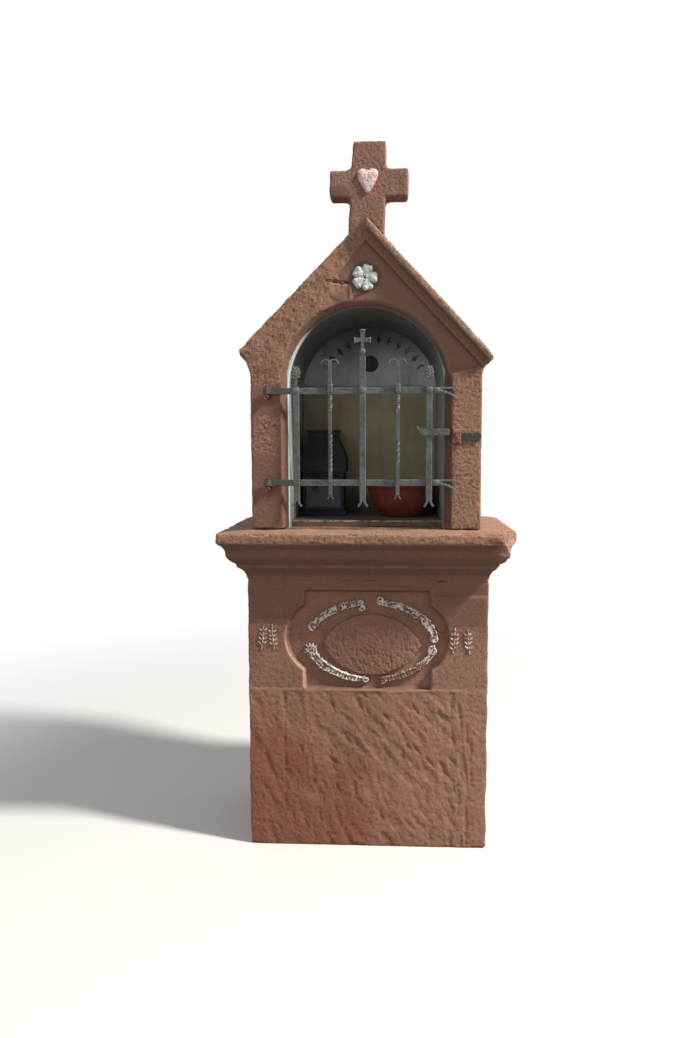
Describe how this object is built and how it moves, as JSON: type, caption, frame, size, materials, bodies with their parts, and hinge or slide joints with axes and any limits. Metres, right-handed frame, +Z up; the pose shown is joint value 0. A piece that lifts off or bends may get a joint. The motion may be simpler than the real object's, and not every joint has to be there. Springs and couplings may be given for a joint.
{
  "type": "wayside shrine",
  "caption": "Sandstone wayside shrine: moulded pedestal, arched niche with a hinged wrought grille gate, gable and stone cross.",
  "frame": {"origin": "centre of the pedestal's foot, on the ground", "axes": "+Z up, -Y towards the front with the niche, +X to the right seen from the front"},
  "size_m": [0.9, 0.5811, 2.124],
  "materials": {
    "sandstone": "red-brown sandstone, part tooled and part weathered",
    "whitewashed_stone": "carved sandstone with worn whitewash",
    "pink_white_stone": "carved sandstone painted pinkish white",
    "lime_plaster": "grey lime wash on plaster",
    "floor_mortar": "trowelled lime mortar",
    "painted_board": "plain beige-brown painted board",
    "dark_plate": "blackened metal",
    "forged_iron": "weathered forged iron with old zinc paint",
    "rusty_iron": "rusted forged iron",
    "lantern_metal": "dark painted sheet metal",
    "lantern_pane": "smoked pane",
    "red_wax": "red grave candle",
    "terracotta": "red-brown fired clay",
    "soil": "planting soil",
    "red_mortar": "red-brown mortar"
  },
  "bodies": {
    "masonry": {"pedestal_block": "sandstone", "medallion": "sandstone", "cartouche_scrolls": "whitewashed_stone", "cornice": "sandstone", "left_pier": "sandstone", "right_pier": "sandstone", "back_wall": "sandstone", "gable_stone": "sandstone", "stone_cross": "sandstone", "heart": "pink_white_stone", "rosette": "whitewashed_stone", "niche_floor": "floor_mortar", "lime_lining": "lime_plaster", "back_plaster": "lime_plaster", "backdrop_board": "painted_board", "wall_plate": "dark_plate", "lantern_base": "lantern_metal", "lantern_frame": "lantern_metal", "lantern_glass": "lantern_pane", "lantern_roof": "lantern_metal", "lantern_cap": "lantern_metal", "candle": "red_wax", "planter_bowl": "terracotta", "planter_soil": "soil", "lower_pintle": "rusty_iron", "upper_pintle": "rusty_iron", "keeper_mortar": "red_mortar", "keeper_strap": "forged_iron"},
    "gate": {"lower_rail": "forged_iron", "upper_rail": "forged_iron", "hinge_upright": "forged_iron", "centre_upright": "forged_iron", "latch_upright": "forged_iron", "twisted_bars": "forged_iron", "leaf_finials": "forged_iron", "cross_finial": "forged_iron", "latch_strap": "forged_iron"}
  },
  "joints": [
    {"name": "gate_hinge", "type": "hinge", "parent": "masonry", "child": "gate", "pos_m": [-0.29, -0.28005, 0], "axis": [0, 0, -1], "range_deg": [0, 110]}
  ]
}
